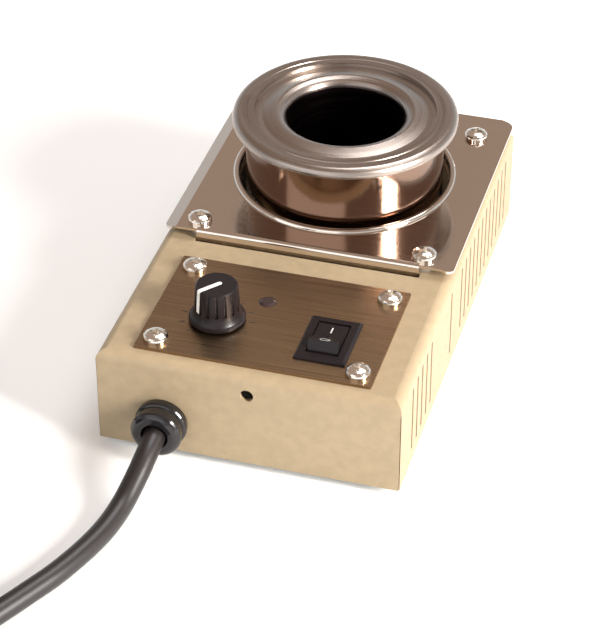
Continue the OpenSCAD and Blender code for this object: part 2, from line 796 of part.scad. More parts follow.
// Section of the knob: a skirt that flares out below a nearly straight grip
module knob_section() {
  skirt = knob_skirt_d / 2;
  top = knob_top_d / 2;
  waist = top + 0.4;
  flare_z = knob_h * 0.42;
  edge = 0.8;
  polygon(concat(
    [[0, 0], [skirt - 0.2, 0], [skirt, 0.2], [skirt, edge]],
    [for (i = [1:7]) let (t = i / 7) [skirt - (skirt - waist) * sin(90 * t),
      edge + (flare_z - edge) * (1 - cos(90 * t))]],
    [[top, knob_h - 0.4], [top - 0.4, knob_h], [0, knob_h]]
  ));
}

// The pointer's groove: a slab from just past the middle to the knob's edge
module pointer_slab(grow) {
  rotate(-90 - pointer_angle) union() {
    translate([-1, -pointer_w / 2 - grow, knob_h * 0.36 - grow])
      cube([knob_top_d, pointer_w + 2 * grow, knob_h]);
    translate([-1, 0, knob_h * 0.36 - grow]) cylinder(r = pointer_w / 2 + grow, h = knob_h, $fn = 24);
  }
}

module knob_core(inset) {
  cylinder(r1 = knob_top_d / 2 + 0.4 - inset, r2 = knob_top_d / 2 - inset, h = knob_h - inset);
}

module knob() {
  groove_r = 0.5;
  color("Black") translate([knob_x, knob_yc, knob_z0]) difference() {
    rotate_extrude() knob_section();
    for (i = [0:knob_grooves - 1]) rotate(-90 - pointer_angle + (i + 0.5) * 360 / knob_grooves)
      translate([knob_top_d / 2 + 0.35, 0, knob_h * 0.34]) cylinder(r = groove_r, h = knob_h, $fn = 16);
    difference() {
      pointer_slab(0.02);
      knob_core(pointer_depth + 0.02);
    }
    translate([0, 0, -cut]) cylinder(d = knob_hollow_d, h = knob_hollow_top - knob_z0 + cut);
    translate([0, 0, -cut]) cylinder(d = shaft_d + 2 * run_fit, h = shaft_top - knob_z0 + slide_fit + cut);
  }
}

module knob_pointer() {
  color("White") translate([knob_x, knob_yc, knob_z0]) difference() {
    intersection() {
      rotate_extrude() knob_section();
      pointer_slab(0);
    }
    translate([0, 0, -eps]) knob_core(pointer_depth);
  }
}

module potentiometer_shaft() {
  shaft_z0 = case_z1 - case_t - can_h + 2;
  color("Silver") translate([knob_x, knob_yc, shaft_z0]) cylinder(d = shaft_d, h = shaft_top - shaft_z0);
}

module potentiometer_body() {
  can_top = case_z1 - case_t;
  thread_top = pot_nut_z0 + pot_nut_h + 0.5;
  lug = [1.6, 8, 0.8];
  color("SlateGray") translate([knob_x, knob_yc, 0]) difference() {
    union() {
      translate([0, 0, can_top - can_h]) cylinder(d = can_d, h = can_h);
      translate([0, 0, can_top - eps]) cylinder(d = thread_d, h = thread_top - can_top + eps);
      for (x = [-4, 0, 4]) translate([x - lug[0] / 2, can_d / 2 - 2, can_top - can_h])
        cube([lug[0], lug[1], lug[2]]);
    }
    translate([0, 0, can_top - can_h + 2]) cylinder(d = shaft_d + 2 * run_fit, h = case_h);
  }
}

module potentiometer_nut() {
  washer_t = 0.5;
  color("Gold") translate([knob_x, knob_yc, pot_nut_z0]) {
    difference() {
      union() {
        cylinder(d = washer_d, h = washer_t);
        translate([0, 0, washer_t - eps])
          cylinder(d = pot_nut_af / cos(30), h = pot_nut_h - washer_t + eps, $fn = 6);
      }
      translate([0, 0, -cut]) cylinder(d = thread_d + 2 * run_fit, h = pot_nut_h + 2 * cut);
    }
  }
}

module indicator_lens() {
  flange = 0.5;
  color("Maroon") translate([lamp_x, lamp_yc, case_z1 - case_t - 6]) union() {
    cylinder(d = lamp_d, h = case_t + 6 + panel_t);
    translate([0, 0, case_t + 6 + panel_t - eps]) cylinder(d1 = lamp_d, d2 = lamp_d - 1.4, h = flange);
  }
}

module indicator_clip() {
  color("Gray") translate([lamp_x, lamp_yc, case_z1 - case_t - 1.2])
    tube(lamp_d / 2 + 2, lamp_d / 2 + run_fit, 1.2);
}

// Rocker switch

module switch_housing() {
  color("Black") translate([switch_x, switch_yc, 0]) difference() {
    union() {
      translate([0, 0, panel_z1]) difference() {
        translate([-bezel_w / 2, -bezel_l / 2, 0]) cube([bezel_w, bezel_l, bezel_h]);
        for (a = [0, 180]) rotate(a) {
          translate([-bezel_w, bezel_l / 2 - 0.7, bezel_h]) rotate([-45, 0, 0])
            cube([2 * bezel_w, bezel_l, bezel_h]);
          translate([bezel_w / 2 - 0.7, -bezel_l, bezel_h]) rotate([0, 45, 0])
            cube([bezel_w, 2 * bezel_l, bezel_h]);
        }
      }
      translate([-housing_w / 2, -housing_l / 2, housing_z0])
        cube([housing_w, housing_l, panel_z1 - housing_z0 + eps]);
    }
    translate([-opening_w / 2, -opening_half, well_z]) cube([opening_w, 2 * opening_half, case_h]);
    translate([0, 0, pivot_z]) rotate([0, 90, 0])
      cylinder(d = pin_d + 2 * run_fit, h = opening_w + 2 * pin_l, center = true);
    for (y = switch_tabs) translate([0, y, housing_z0])
      cube([switch_tab_w + 0.2, switch_tab_t + 0.1, 2 * switch_tab_in], center = true);
  }
}

module rocker_section() {
  end = rocker_tip;
  foot = 2.6;
  polygon(concat(
    [[0, rocker_mid], [end[0] - 0.5, end[1] - 0.12], end - [0.1, 0.35]],
    [[end[0] + 0.55, rocker_mid * 0.5], [end[0] + 0.7, 0], [end[0] + 0.2, -foot], [-end[0] - 0.2, -foot],
      [-end[0] - 0.7, 0], [-end[0] - 0.55, rocker_mid * 0.5]],
    [[0.1 - end[0], end[1] - 0.35], [0.5 - end[0], end[1] - 0.12]]
  ));
}

module switch_rocker() {
  color("DimGray") translate([switch_x, switch_yc, pivot_z]) rotate([-rocker_tilt, 0, 0]) union() {
    rotate([90, 0, 90]) translate([0, 0, -rocker_w / 2]) linear_extrude(rocker_w) rocker_section();
    rotate([0, 90, 0]) cylinder(d = pin_d, h = rocker_w + 2 * (rocker_fit + pin_l - 0.2), center = true);
  }
}

module switch_terminals() {
  reach = 7;
  color("Gold") translate([switch_x, switch_yc, housing_z0 + switch_tab_in]) for (y = switch_tabs)
    translate([-switch_tab_w / 2, y - switch_tab_t / 2, -switch_tab_in - reach])
      cube([switch_tab_w, switch_tab_t, switch_tab_in + reach]);
}

// Control board

module control_board() {
  color("DarkGreen") difference() {
    translate([board_at[0], board_at[1], board_z]) cube(board_size);
    for (p = board_holes) translate([p[0], p[1], 0]) cylinder(d = small_hole_d, h = case_h);
  }
}

module board_standoffs() {
  color("White") for (p = board_holes) translate([p[0], p[1], floor_z])
    tube(2.6, small_hole_d / 2, board_lift);
}

module board_screws() {
  color("Gainsboro") for (p = board_holes) translate([p[0], p[1], board_z + board_size[2]])
    pan_screw(small_screw_d, 5, 1.8, board_z + board_size[2] - case_z0);
}

module triac() {
  color("DimGray") translate([sink_at[0] + 8, sink_at[1] - 4.6, board_z + board_size[2]]) union() {
    translate([0, 0, 3]) cube([10, 4.6, 9]);
    translate([0, 3.3, 12 - eps]) cube([10, 1.3, 3]);
    for (x = [2, 4.6, 7.2]) translate([x, 2, 0]) cube([0.8, 0.6, 3 + eps]);
  }
}

module heat_sink() {
  fins = 5;
  fin_t = 1.4;
  gap = (sink_size[0] - fins * fin_t) / (fins - 1);
  color("Silver") translate([sink_at[0], sink_at[1], board_z + board_size[2]]) union() {
    cube([sink_size[0], 2, sink_size[2]]);
    for (i = [0:fins - 1]) translate([i * (fin_t + gap), 2 - eps, 0])
      cube([fin_t, sink_size[1] - 2, sink_size[2]]);
  }
}

module capacitor() {
  color("Gold") translate([board_at[0] + 12, board_at[1] + 4, board_z + board_size[2]])
    cube([14, 6, 10]);
}

// The block's two ways: a wire hole from each end, and a screw down on each wire
module at_block_screws() {
  for (s = [-1, 1], y = [block_at[1] + block_screw_in, block_y1 - block_screw_in])
    translate([block_mid_x + s * block_way, y, block_entry_z]) children();
}

module terminal_block() {
  color("Ivory") difference() {
    translate([block_at[0], block_at[1], floor_z]) cube(block_size);
    at_block_screws() cylinder(d = block_screw_d + 2 * slide_fit, h = block_size[2]);
    for (s = [-1, 1], y = [block_at[1], block_y1])
      translate([block_mid_x + s * block_way, y, block_entry_z]) rotate([90, 0, 0])
        cylinder(d = block_wire_d, h = 2 * (lead_depth + 1), center = true);
  }
}

module terminal_screws() {
  h = floor_z + block_size[2] - block_entry_z - block_wire_d / 2 - 1;
  color("Goldenrod") at_block_screws() translate([0, 0, block_wire_d / 2 - 0.2]) difference() {
    cylinder(d = block_screw_d, h = h);
    translate([-block_screw_d, -0.3, h - 0.8]) cube([2 * block_screw_d, 0.6, 2]);
  }
}

module earth_stud() {
  ring_t = 1;
  color("Gainsboro") translate([stud_at[0], stud_at[1], 0]) union() {
    translate([0, 0, case_z0]) mirror([0, 0, 1]) cylinder(d = head_d - 1, h = 1.8);
    translate([0, 0, case_z0 - eps]) cylinder(d = screw_d, h = bottom_t + 10);
    translate([0, 0, floor_z]) cylinder(d = stud_ring_d, h = ring_t);
    translate([0, 0, floor_z + ring_t - eps]) cylinder(d = nut_af / cos(30), h = nut_h, $fn = 6);
  }
}

// The lead's three cores inside the case, and the wires from the switch to the board and the block
module core(points) {
  swept_tube(curve(points, 3), core_d / 2, 8);
}

module mains_leads() {
  twist = 1.6;
  ways = [for (s = [-1, 1]) block_mid_x + s * block_way];
  block_in = block_at[1] + lead_depth;
  tabs_x = switch_x - switch_tab_w / 2 - 0.15;
  tabs_z = housing_z0 - 5;
  tab_live = switch_yc + switch_tabs[0];
  tab_out = switch_yc + switch_tabs[1];
  board_top = board_z + board_size[2] + 0.4;
  stud_edge = stud_at[0] + stud_ring_d / 2 + 0.2;
  color("SaddleBrown") core([
    [bushing_x + 1.4, core_start_y, bushing_zc - 0.8], [bushing_x + 5, core_start_y + 4, bushing_zc - 2],
    [-8, -49, 10], [4, -54, 12], [tabs_x - 5, tab_live, tabs_z], [tabs_x, tab_live, tabs_z]
  ]);
  color("RoyalBlue") core([
    [bushing_x - 1.4, core_start_y, bushing_zc - 0.8], [bushing_x - 2.2, core_start_y + 4, 11],
    [ways[0], -44, block_entry_z + 0.4], [ways[0], -39, block_entry_z], [ways[0], block_in, block_entry_z]
  ]);
  color("YellowGreen") core([
    [bushing_x, core_start_y, bushing_zc + twist], [bushing_x, core_start_y + 3.8, bushing_zc + 0.8],
    [-25.3, -49.8, 10.8], [-27, -49.6, 7], [stud_edge + 3, stud_at[1], 5.5],
    [stud_edge, stud_at[1], floor_z + core_d / 2 + 0.1]
  ]);
  color("DimGray") {
    core([
      [tabs_x, tab_out, tabs_z], [tabs_x - 4, tab_out, tabs_z], [5, -42, 15.5], [3, -33.5, 15],
      [3, -32.5, 13], [3, -32.5, board_top]
    ]);
    core([
      [-2, -24, board_top], [-2, -24, 13.5], [-8, -31, 14.5], [-15, -40, 11], [-21, -46, 8.2],
      [-25.2, -44.5, block_entry_z], [ways[1], -39.5, block_entry_z], [ways[1], -38, block_entry_z],
      [ways[1], block_in, block_entry_z]
    ]);
  }
}

// Mains lead

module strain_relief() {
  step = 3;
  hub_d = bushing_head_d - 1.4;
  mouth_d = 11;
  flare = 4;
  color("Black") translate([bushing_x, front_y, bushing_zc]) rotate([90, 0, 0]) difference() {
    union() {
      rotate_extrude() polygon(concat(
        [[0, 0], [bushing_head_d / 2 - 0.3, 0]],
        arc([bushing_head_d / 2 - 1.2, step - 1.2], 1.2, 0, 90, 4),
        [[hub_d / 2, step]],
        arc([mouth_d / 2, bushing_head_l - 2.2], 2.2, 20, 90, 4),
        [[0, bushing_head_l]]
      ));
      intersection() {
        union() {
          translate([0, 0, -case_t - 1]) cylinder(d = bushing_body_d, h = case_t + 1 + eps);
          translate([0, 0, -bushing_in_l])
            cylinder(d1 = mouth_d - 1, d2 = bushing_body_d, h = bushing_in_l - case_t - 1 + eps);
        }
        translate([0, 0, -bushing_in_l / 2])
          cube([bushing_flat, 2 * bushing_body_d, bushing_in_l + 2 * cut], center = true);
      }
    }
    translate([0, 0, -bushing_in_l - cut])
      cylinder(d = bushing_bore, h = bushing_in_l + bushing_head_l + 2 * cut);
    translate([0, 0, bushing_head_l - flare]) cylinder(d1 = bushing_bore, d2 = bushing_bore + 1.6, h = flare);
    translate([0, 0, bushing_head_l - eps]) cylinder(d = bushing_bore + 1.6, h = cut);
  }
}

module cord_tube() {
  color("Black") swept_tube(curve(cord_route, 2), cord_r, 10);
}

module cord_tail() {
  color("Black") swept_tube(curve(tail_route, 2), cord_r, 10);
}

module cord_coil() {
  color("Black") translate([coil_at[0], coil_at[1], 0]) rotate_extrude($fn = 72) polygon([
    [coil_in_r + coil_edge, 0], [coil_out_r - coil_edge, 0], [coil_out_r, coil_edge],
    [coil_out_r, coil_h - coil_edge], [coil_out_r - coil_edge, coil_h], [coil_in_r + coil_edge, coil_h],
    [coil_in_r, coil_h - coil_edge], [coil_in_r, coil_edge]
  ]);
}

// A strap over the coil, down to the bench on both sides
module cord_tie() {
  inner_x = sqrt(coil_in_r * coil_in_r - tie_w * tie_w / 4) - tie_fit;
  outer_x = coil_out_r + tie_fit;
  span = outer_x - inner_x;
  color("DimGray") translate([coil_at[0], coil_at[1], 0]) rotate(tie_angle)
    translate([inner_x, -tie_w / 2, 0]) difference() {
      translate([-tie_t, 0, 0]) cube([span + 2 * tie_t, tie_w, coil_h + tie_fit + tie_t]);
      translate([0, -cut, -cut]) cube([span, tie_w + 2 * cut, coil_h + tie_fit + cut]);
    }
}

// Moulded plug: a ribbed sleeve where the lead enters, then a grip with flat sides
module plug_body() {
  sleeve_r = cord_r + 1.6;
  rib = 0.8;
  rib_pitch = 3;
  face_d = 29;
  grip_size = [26, 23];
  color("Black") translate([plug_at[0], plug_at[1], plug_z]) rotate([-90, 0, 0]) union() {
    cylinder(r1 = sleeve_r, r2 = sleeve_r + 0.8, h = plug_sleeve + 1);
    for (i = [0:3]) translate([0, 0, 1 + i * rib_pitch]) cylinder(r = sleeve_r + rib, h = rib_pitch / 2);
    intersection() {
      translate([0, 0, plug_sleeve]) union() {
        cylinder(d1 = 16, d2 = 20, h = 6 + eps);
        translate([0, 0, 6]) cylinder(d1 = 20, d2 = 24, h = 12 + eps);
        translate([0, 0, 18]) cylinder(d = face_d, h = plug_l - plug_sleeve - 18);
      }
      translate([-grip_size[0] / 2, -grip_size[1] / 2, 0]) cube([grip_size[0], grip_size[1], plug_l]);
    }
  }
}

module plug_pins() {
  blade = [1.5, 6.3, 17];
  blade_gap = 12.7;
  blade_y = -3.5;
  earth_y = blade_y + 11.9;
  earth_d = 4.8;
  color("Silver") translate([plug_at[0], plug_at[1] + plug_l, plug_z]) rotate([-90, 0, 0]) {
    for (s = [-1, 1]) translate([s * blade_gap / 2 - blade[0] / 2, blade_y - blade[1] / 2, 0]) cube(blade);
    translate([0, earth_y, 0]) cylinder(d = earth_d, h = blade[2] + 1);
    translate([0, earth_y, blade[2] + 1 - eps]) cylinder(d1 = earth_d, d2 = earth_d / 2, h = 2);
  }
}

case_shell();
bottom_plate();
corner_brackets();
rubber_feet();
foot_screws();
foot_nuts();
top_plate();
plate_spacers();
plate_screws();
plate_nuts();
crucible();
crucible_guard();
guard_floor();
guard_standoffs();
guard_bolts();
guard_nuts();
insulation_pad();
insulation_sleeve();
band_heater();
heater_clamp_bolt();
heater_leads();
control_panel();
panel_screws();
panel_nuts();
knob();
knob_pointer();
potentiometer_shaft();
potentiometer_body();
potentiometer_nut();
indicator_lens();
indicator_clip();
switch_housing();
switch_rocker();
switch_terminals();
control_board();
board_standoffs();
board_screws();
triac();
heat_sink();
capacitor();
terminal_block();
terminal_screws();
earth_stud();
mains_leads();
strain_relief();
cord_tube();
cord_coil();
cord_tail();
cord_tie();
plug_body();
plug_pins();
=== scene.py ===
"""Looks of the bench solder pot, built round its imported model, in metres."""

import math

import bpy
from mathutils import Matrix, Vector


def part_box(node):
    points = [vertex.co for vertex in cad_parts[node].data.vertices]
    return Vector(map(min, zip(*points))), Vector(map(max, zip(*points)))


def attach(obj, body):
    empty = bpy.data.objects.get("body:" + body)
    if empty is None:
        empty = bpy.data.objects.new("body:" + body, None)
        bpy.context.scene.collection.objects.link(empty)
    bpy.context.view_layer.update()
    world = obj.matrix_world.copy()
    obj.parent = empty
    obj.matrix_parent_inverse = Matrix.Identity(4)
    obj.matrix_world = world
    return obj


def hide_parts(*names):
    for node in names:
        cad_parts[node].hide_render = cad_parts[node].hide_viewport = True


bl_info = {
    "name": "Solder pot",
    "version": (1, 0, 0),
    "blender": (4, 5, 0),
    "location": "3D View > Sidebar > Solder pot",
    "description": "Turned, polished and moulded pieces of a bench solder pot",
    "category": "Object",
}

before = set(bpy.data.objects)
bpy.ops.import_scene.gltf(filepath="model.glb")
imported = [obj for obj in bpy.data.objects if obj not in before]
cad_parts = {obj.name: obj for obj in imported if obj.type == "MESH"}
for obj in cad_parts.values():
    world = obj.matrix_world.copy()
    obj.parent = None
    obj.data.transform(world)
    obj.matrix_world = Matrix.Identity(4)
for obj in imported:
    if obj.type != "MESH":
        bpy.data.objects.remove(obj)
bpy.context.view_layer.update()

MM = 0.001
TURN = 2 * math.pi


# Places read from the imported model


def middle(node):
    """The middle of a node's box."""
    low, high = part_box(node)
    return (low + high) / 2


POT = middle("crucible")
KNOB = middle("knob")
PANEL_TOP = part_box("control_panel")[1].z


# Settings


class StageSettings(bpy.types.PropertyGroup):
    """Camera, lamps, room and floor."""

    camera_place: bpy.props.FloatVectorProperty(
        name="Camera place", description="Where the camera stands",
        default=(0.16707, -0.60191, 0.46318), unit="LENGTH")
    azimuth: bpy.props.FloatProperty(
        name="Azimuth", description="Turn of the camera about the upright axis",
        default=math.radians(16.10), subtype="ANGLE")
    elevation: bpy.props.FloatProperty(
        name="Elevation", description="How far the camera looks down",
        default=math.radians(36.31), subtype="ANGLE")
    lens: bpy.props.FloatProperty(
        name="Lens", description="Focal length of the camera in millimetres", default=151.6)
    floor_colour: bpy.props.FloatVectorProperty(
        name="Floor", description="Colour of the bench top", default=(0.93, 0.945, 0.95),
        subtype="COLOR")
    room_colour: bpy.props.FloatVectorProperty(
        name="Room", description="Colour of the room higher up", default=(0.42, 0.315, 0.25),
        subtype="COLOR")
    horizon_colour: bpy.props.FloatVectorProperty(
        name="Horizon", description="Colour of the room low round the bench",
        default=(0.80, 0.86, 0.90), subtype="COLOR")
    key_power: bpy.props.FloatProperty(
        name="Key lamp", description="Power of the lamp at the right in watts", default=40.0)
    top_power: bpy.props.FloatProperty(
        name="Top lamp", description="Power of the lamp overhead in watts", default=10.0)
    fill_power: bpy.props.FloatProperty(
        name="Fill lamp", description="Power of the lamp at the front in watts", default=6.0)


class FinishSettings(bpy.types.PropertyGroup):
    """Colours of the finishes."""

    paint: bpy.props.FloatVectorProperty(
        name="Case paint", description="Colour of the case's textured paint",
        default=(0.325, 0.248, 0.152), subtype="COLOR")
    steel: bpy.props.FloatVectorProperty(
        name="Polished steel", description="Colour of the polished plate",
        default=(0.70, 0.63, 0.57), subtype="COLOR")
    guard: bpy.props.FloatVectorProperty(
        name="Guard steel", description="Colour of the guard, browned by the heat",
        default=(0.25, 0.165, 0.125), subtype="COLOR")
    # Painted shade: the nearly black colour laid inside the crucible's bore, where the bore lies in
    # shade
    painted_bore_shade: bpy.props.FloatVectorProperty(
        name="Burnt bore", description="Colour of the crucible's burnt bore",
        default=(0.035, 0.022, 0.022), subtype="COLOR")
    turned: bpy.props.FloatVectorProperty(
        name="Turned steel", description="Colour of the turned crucible",
        default=(0.36, 0.31, 0.28), subtype="COLOR")
    panel: bpy.props.FloatVectorProperty(
        name="Panel steel", description="Colour of the brushed control panel",
        default=(0.30, 0.205, 0.125), subtype="COLOR")
    black: bpy.props.FloatVectorProperty(
        name="Black plastic", description="Colour of the knob and the switch",
        default=(0.009, 0.006, 0.007), subtype="COLOR")
    lead: bpy.props.FloatVectorProperty(
        name="Lead", description="Colour of the mains lead", default=(0.013, 0.010, 0.010),
        subtype="COLOR")


class LeadSettings(bpy.types.PropertyGroup):
    """The mains lead."""

    diameter: bpy.props.FloatProperty(
        name="Diameter", description="Outside diameter of the lead", default=6.5 * MM, unit="LENGTH")
    coil_radius: bpy.props.FloatProperty(
        name="Coil radius", description="Radius of the coil at the middle of its turns",
        default=32.5 * MM, unit="LENGTH")


class MarkSettings(bpy.types.PropertyGroup):
    """The plain marks round the knob and on the rocker."""

    ticks: bpy.props.IntProperty(name="Ticks", description="Number of dial ticks", default=11)
    sweep: bpy.props.FloatProperty(
        name="Sweep", description="Turn from the first tick to the last",
        default=math.radians(280), subtype="ANGLE")
    first_tick: bpy.props.FloatProperty(
        name="First tick", description="Place of the first tick, from straight ahead to the left",
        default=math.radians(40), subtype="ANGLE")
    dial_radius: bpy.props.FloatProperty(
        name="Dial radius", description="Radius at the middle of the ticks", default=10.2 * MM,
        unit="LENGTH")
    tick_length: bpy.props.FloatProperty(
        name="Tick length", description="Length of a tick", default=1.7 * MM, unit="LENGTH")
    tick_width: bpy.props.FloatProperty(
        name="Tick width", description="Width of a tick", default=0.35 * MM, unit="LENGTH")
    mark_size: bpy.props.FloatProperty(
        name="Mark size", description="Length of the marks on the rocker", default=2.6 * MM,
        unit="LENGTH")


def settings():
    """The part's settings of this scene."""
    return bpy.context.scene.solder_pot


class PotSettings(bpy.types.PropertyGroup):
    """All the settings together."""

    stage: bpy.props.PointerProperty(type=StageSettings)
    finish: bpy.props.PointerProperty(type=FinishSettings)
    lead: bpy.props.PointerProperty(type=LeadSettings)
    marks: bpy.props.PointerProperty(type=MarkSettings)


# Finishes


def material(name, colour, roughness, metallic=0.0, **sockets):
    """A new material, its node tree and its surface, with plain values on the surface's sockets."""
    made = bpy.data.materials.new(name)
    made.use_nodes = True
    surface = made.node_tree.nodes["Principled BSDF"]
    surface.inputs["Base Color"].default_value = (*colour, 1)
    surface.inputs["Roughness"].default_value = roughness
    surface.inputs["Metallic"].default_value = metallic
    for socket, value in sockets.items():
        surface.inputs[socket.replace("_", " ")].default_value = value
    return made, made.node_tree, surface


def add(tree, kind, inputs=None, **attributes):
    """A new node with these attributes, and values or links for these inputs."""
    made = tree.nodes.new(kind)
    for name, value in attributes.items():
        setattr(made, name, value)
    for name, value in (inputs or {}).items():
        socket = made.inputs[name]
        if isinstance(value, bpy.types.NodeSocket):
            tree.links.new(value, socket)
        else:
            socket.default_value = value
    return made


def place(tree, scale=(1, 1, 1), location=(0, 0, 0)):
    """The surface's own coordinates in metres, moved and stretched."""
    here = add(tree, "ShaderNodeTexCoord").outputs["Object"]
    inputs = {"Vector": here, "Location": location, "Scale": scale}
    return add(tree, "ShaderNodeMapping", inputs).outputs["Vector"]


def noise(tree, vector, scale, detail=3.0, roughness=0.5):
    """Soft noise at a scale in cells a metre."""
    inputs = {"Vector": vector, "Scale": scale, "Detail": detail, "Roughness": roughness}
    return add(tree, "ShaderNodeTexNoise", inputs).outputs["Fac"]


def blend_colours(tree, factor, low, high, start=0.35, end=0.65):
    """A colour that goes from low to high as the factor goes from start to end."""
    ramp = add(tree, "ShaderNodeValToRGB", {"Fac": factor})
    ramp.color_ramp.elements[0].position = start
    ramp.color_ramp.elements[1].position = end
    ramp.color_ramp.elements[0].color = (*low, 1)
    ramp.color_ramp.elements[1].color = (*high, 1)
    return ramp.outputs["Color"]


def remap(tree, value, low, high, start=0.3, end=0.7):
    """A value moved from start..end to low..high."""
    inputs = {"Value": value, "From Min": start, "From Max": end, "To Min": low, "To Max": high}
    return add(tree, "ShaderNodeMapRange", inputs).outputs["Result"]


def bump(tree, surface, height, strength, distance, before=None):
    """Bumps the surface, on top of an earlier bump if there is one."""
    inputs = {"Height": height, "Strength": strength, "Distance": distance}
    if before is not None:
        inputs["Normal"] = before
    normal = add(tree, "ShaderNodeBump", inputs).outputs["Normal"]
    tree.links.new(normal, surface.inputs["Normal"])
    return normal


def shade(colour, factor):
    """A colour made darker or lighter."""
    return tuple(min(1.0, c * factor) for c in colour)


def case_paint():
    """Beige textured powder coat: a fine orange peel and a faint mottle."""
    colour = tuple(settings().finish.paint)
    made, tree, surface = material("case_paint", colour, 0.52)
    here = place(tree)
    mottle = noise(tree, here, 320, detail=6)
    tree.links.new(blend_colours(tree, mottle, shade(colour, 0.94), shade(colour, 1.05)),
                   surface.inputs["Base Color"])
    peel = noise(tree, here, 1500, detail=4)
    tree.links.new(remap(tree, peel, 0.44, 0.60), surface.inputs["Roughness"])
    bump(tree, surface, peel, 0.35, 0.06 * MM)
    return made


def polished_steel():
    """Mirror polished stainless sheet with hairline wiping marks and a faint waviness."""
    colour = tuple(settings().finish.steel)
    made, tree, surface = material("polished_steel", colour, 0.10, 1.0)
    wipe = noise(tree, place(tree, scale=(40, 1400, 1400)), 1.0, detail=5)
    tree.links.new(remap(tree, wipe, 0.07, 0.15), surface.inputs["Roughness"])
    wave = noise(tree, place(tree), 26, detail=1)
    first = bump(tree, surface, wave, 0.25, 0.5 * MM)
    bump(tree, surface, wipe, 0.04, 0.02 * MM, before=first)
    return made


def polar(tree, centre):
    """Distance from an upright axis and turn about it, for patterns that follow a lathe."""
    here = place(tree, location=(-centre.x, -centre.y, 0))
    parts = add(tree, "ShaderNodeSeparateXYZ", {"Vector": here})
    x, y, z = parts.outputs
    flat = add(tree, "ShaderNodeCombineXYZ", {"X": x, "Y": y}).outputs["Vector"]
    radius = add(tree, "ShaderNodeVectorMath", {0: flat}, operation="LENGTH").outputs["Value"]
    turn = add(tree, "ShaderNodeMath", {0: y, 1: x}, operation="ARCTAN2").outputs["Value"]
    return radius, turn, z


def lathe_grain(tree, centre, fine, around, along):
    """Noise drawn out round an axis, in cells a metre outwards, a radian round and a metre up."""
    stretched = {}
    for axis, value, scale in zip("XYZ", polar(tree, centre), (fine, around, along)):
        inputs = {0: value, 1: scale}
        stretched[axis] = add(tree, "ShaderNodeMath", inputs, operation="MULTIPLY").outputs["Value"]
    way = add(tree, "ShaderNodeCombineXYZ", stretched).outputs["Vector"]
    return noise(tree, way, 1.0, detail=4)


# Radii at the crucible's bore lip where the painted shade of the bore ends and the plain steel colour
# starts
BORE_SHADE_TO, PLAIN_STEEL_FROM = 17.8 * MM, 19.0 * MM


def turned_steel():
    """Satin turned stainless with fine rings, with painted shade that makes it nearly black inside the
    bore.
    """
    colour = tuple(settings().finish.turned)
    made, tree, surface = material("turned_steel", colour, 0.27, 1.0)
    rings = lathe_grain(tree, POT, 5200, 1.2, 5200)
    broad = lathe_grain(tree, POT, 700, 0.8, 700)
    radius = polar(tree, POT)[0]
    # Painted shade: the colour goes nearly black inside the bore and blends to the steel's colour across
    # the lip
    outside = remap(tree, radius, 0, 1, start=BORE_SHADE_TO, end=PLAIN_STEEL_FROM)
    painted_bore_shade = tuple(settings().finish.painted_bore_shade)
    tree.links.new(blend_colours(tree, outside, painted_bore_shade, colour, 0.2, 0.8),
                   surface.inputs["Base Color"])
    tree.links.new(remap(tree, broad, 0.22, 0.34), surface.inputs["Roughness"])
    first = bump(tree, surface, rings, 0.22, 0.02 * MM)
    bump(tree, surface, broad, 0.20, 0.05 * MM, before=first)
    return made


def guard_steel():
    """Polished tube, browned by the heat, with polishing lines round it and a slight unevenness."""
    colour = tuple(settings().finish.guard)
    made, tree, surface = material("guard_steel", colour, 0.12, 1.0)
    lines = lathe_grain(tree, POT, 1, 3, 4200)
    tree.links.new(remap(tree, lines, 0.08, 0.17), surface.inputs["Roughness"])
    uneven = lathe_grain(tree, POT, 1, 5, 60)
    first = bump(tree, surface, uneven, 0.25, 0.25 * MM)
    bump(tree, surface, lines, 0.06, 0.02 * MM, before=first)
    return made


def panel_steel():
    """Brushed stainless sheet, its grain along the panel's width."""
    colour = tuple(settings().finish.panel)
    made, tree, surface = material("panel_steel", colour, 0.30, 1.0)
    grain = noise(tree, place(tree, scale=(30, 6500, 6500)), 1.0, detail=6, roughness=0.6)
    tree.links.new(remap(tree, grain, 0.24, 0.38), surface.inputs["Roughness"])
    tree.links.new(blend_colours(tree, grain, shade(colour, 0.86), shade(colour, 1.12)),
                   surface.inputs["Base Color"])
    bump(tree, surface, grain, 0.15, 0.02 * MM)
    return made


def bright_metal(name, colour, roughness):
    """Plated metal with a faint haze."""
    made, tree, surface = material(name, colour, roughness, 1.0)
    haze = noise(tree, place(tree), 900, detail=3)
    tree.links.new(remap(tree, haze, roughness * 0.7, roughness * 1.4), surface.inputs["Roughness"])
    bump(tree, surface, haze, 0.08, 0.03 * MM)
    return made


def moulded(name, colour, roughness, grain=1800, depth=0.02, **sockets):
    """Moulded plastic or rubber: its mould texture in cells a metre, and its depth in millimetres."""
    made, tree, surface = material(name, colour, roughness, **sockets)
    fine = noise(tree, place(tree), grain, detail=4)
    tree.links.new(remap(tree, fine, roughness * 0.85, roughness * 1.15), surface.inputs["Roughness"])
    tree.links.new(blend_colours(tree, fine, shade(colour, 0.85), shade(colour, 1.15)),
                   surface.inputs["Base Color"])
    bump(tree, surface, fine, 0.3, depth * MM)
    return made


def fibre(name, colour):
    """Pressed mineral fibre."""
    made, tree, surface = material(name, colour, 0.9)
    strands = noise(tree, place(tree, scale=(1, 1, 3)), 700, detail=8, roughness=0.7)
    tree.links.new(blend_colours(tree, strands, shade(colour, 0.8), shade(colour, 1.1)),
                   surface.inputs["Base Color"])
    bump(tree, surface, strands, 0.6, 0.3 * MM)
    return made


# Modelling

SMOOTH_UNDER = math.radians(35)


def deselect():
    """Nothing stays selected."""
    if bpy.context.object and bpy.context.object.mode != "OBJECT":
        bpy.ops.object.mode_set(mode="OBJECT")
    bpy.ops.object.select_all(action="DESELECT")


